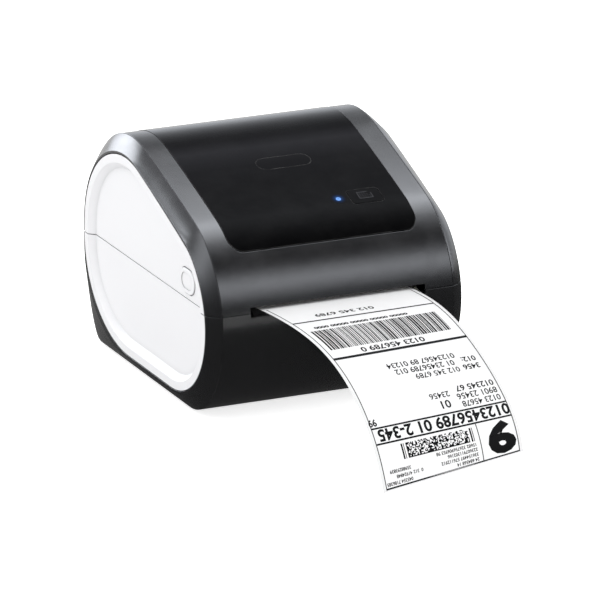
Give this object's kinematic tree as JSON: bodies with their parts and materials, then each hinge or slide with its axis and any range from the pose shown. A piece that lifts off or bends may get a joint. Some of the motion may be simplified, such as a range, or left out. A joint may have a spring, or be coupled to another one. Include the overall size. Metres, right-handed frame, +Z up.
{
  "type": "thermal label printer",
  "caption": "Desktop thermal label printer with a clamshell cover, roll holders, geared platen, floating print head, latch buttons and a label leaving the slot.",
  "frame": {"origin": "on the desk under the middle of the whole outline, the hanging label included", "axes": "+Z up, the label leaves towards -Y, +X on the right of someone facing the front"},
  "size_m": [0.1706, 0.365, 0.1506],
  "materials": {
    "satin_black": "satin moulded",
    "bevel_black": "semi-gloss moulded",
    "white_panel": "fine matt moulded",
    "gloss_black": "high gloss",
    "lamp_blue": "clear light pipe lit blue",
    "soft_rubber": "ground rubber",
    "inner_plastic": "plain moulded",
    "sheet_steel": "zinc plated sheet",
    "turned_steel": "turned",
    "gear_plastic": "natural acetal",
    "circuit_green": "solder resist",
    "head_aluminium": "extruded",
    "head_ceramic": "glazed alumina",
    "label_paper": "thermal coated, printed",
    "core_board": "plain"
  },
  "bodies": {
    "base": {"base_shell": "satin_black", "left_lower_cheek": "bevel_black", "right_lower_cheek": "bevel_black", "left_lower_side_panel": "white_panel", "right_lower_side_panel": "white_panel", "bottom_plate": "inner_plastic", "rubber_feet": "soft_rubber", "base_screws": "turned_steel", "media_tray": "inner_plastic", "left_frame_plate": "sheet_steel", "right_frame_plate": "sheet_steel", "frame_crossbar": "sheet_steel", "platen_bushes": "gear_plastic", "idler_stud": "turned_steel", "stepper_motor": "sheet_steel", "paper_guide": "sheet_steel", "media_sensor": "inner_plastic", "latch_strikers": "inner_plastic", "hinge_pins": "turned_steel", "main_board": "circuit_green", "board_screws": "turned_steel", "rear_port_plate": "inner_plastic", "data_socket": "sheet_steel", "power_socket": "inner_plastic", "switch_body": "inner_plastic", "label_strip": "label_paper"},
    "cover": {"cover_shell": "satin_black", "left_upper_cheek": "bevel_black", "right_upper_cheek": "bevel_black", "left_upper_side_panel": "white_panel", "right_upper_side_panel": "white_panel", "window_panel": "gloss_black", "badge_plate": "gloss_black", "status_lens": "lamp_blue", "button_board": "circuit_green", "tear_bar": "sheet_steel", "head_bracket": "sheet_steel", "bracket_screws": "turned_steel", "head_springs": "turned_steel", "left_release_spring": "turned_steel", "right_release_spring": "turned_steel"},
    "feed_key": {"feed_button": "gloss_black"},
    "left_release": {"left_release_button": "white_panel", "left_latch_slide": "inner_plastic"},
    "right_release": {"right_release_button": "white_panel", "right_latch_slide": "inner_plastic"},
    "print_head": {"print_head_carrier": "head_aluminium", "heater_strip": "head_ceramic"},
    "platen": {"platen_shaft": "turned_steel", "platen_roller": "soft_rubber", "platen_gear": "gear_plastic"},
    "idler": {"idler_gear": "gear_plastic"},
    "motor_rotor": {"motor_shaft": "turned_steel", "motor_pinion": "gear_plastic"},
    "media_roll": {"label_roll": "label_paper", "roll_core": "core_board"},
    "left_holder": {"left_roll_holder": "inner_plastic"},
    "right_holder": {"right_roll_holder": "inner_plastic"},
    "holder_pinion": {"guide_pinion": "gear_plastic"},
    "rocker": {"power_rocker": "inner_plastic"}
  },
  "joints": [
    {"name": "cover_hinge", "type": "hinge", "parent": "base", "child": "cover", "pos_m": [0, 0.1765, 0.08025], "axis": [-1, 0, 0], "range_deg": [0, 80]},
    {"name": "feed_press", "type": "slide", "parent": "cover", "child": "feed_key", "axis": [0, 0.3413, -0.9399], "range_m": [0, 0.0008], "stiffness_N_per_m": 400, "springref_m": -0.0012},
    {"name": "left_release_press", "type": "slide", "parent": "cover", "child": "left_release", "axis": [1, 0, 0], "range_m": [0, 0.003], "stiffness_N_per_m": 350, "springref_m": -0.004, "deforming": ["left_release_spring"]},
    {"name": "right_release_press", "type": "slide", "parent": "cover", "child": "right_release", "axis": [-1, 0, 0], "range_m": [0, 0.003], "stiffness_N_per_m": 350, "springref_m": -0.004, "deforming": ["right_release_spring"]},
    {"name": "head_lift", "type": "slide", "parent": "cover", "child": "print_head", "axis": [0, 0, 1], "range_m": [0, 0.001], "stiffness_N_per_m": 900, "springref_m": -0.005, "deforming": ["head_springs"]},
    {"name": "roll_spin", "type": "hinge", "parent": "base", "child": "media_roll", "pos_m": [0, 0.1005, 0.076], "axis": [1, 0, 0], "continuous": true},
    {"name": "platen_spin", "type": "hinge", "parent": "base", "child": "platen", "pos_m": [0, -0.0035, 0.06565], "axis": [1, 0, 0], "continuous": true},
    {"name": "idler_spin", "type": "hinge", "parent": "base", "child": "idler", "pos_m": [0, 0.00851, 0.04484], "axis": [1, 0, 0], "continuous": true},
    {"name": "motor_spin", "type": "hinge", "parent": "base", "child": "motor_rotor", "pos_m": [0, 0.02409, 0.02926], "axis": [1, 0, 0], "continuous": true},
    {"name": "right_holder_slide", "type": "slide", "parent": "base", "child": "right_holder", "axis": [1, 0, 0], "range_m": [0, 0.008]},
    {"name": "left_holder_slide", "type": "slide", "parent": "base", "child": "left_holder", "axis": [-1, 0, 0], "range_m": [0, 0.008]},
    {"name": "holder_pinion_turn", "type": "hinge", "parent": "base", "child": "holder_pinion", "pos_m": [0, 0.1005, 0.0223], "axis": [0, 0, 1], "range_deg": [0, 57.4]},
    {"name": "power_rock", "type": "hinge", "parent": "base", "child": "rocker", "pos_m": [0.036, 0.1785, 0.0211], "axis": [0, 0, 1], "range_deg": [-18, 0]}
  ],
  "couplings": [
    {"joint": "platen_spin", "follows": "roll_spin", "ratio": 6.25},
    {"joint": "idler_spin", "follows": "roll_spin", "ratio": -3.75},
    {"joint": "motor_spin", "follows": "roll_spin", "ratio": 8.0357},
    {"joint": "left_holder_slide", "follows": "right_holder_slide", "ratio": 1},
    {"joint": "holder_pinion_turn", "follows": "right_holder_slide", "rad_per_m": 125}
  ]
}
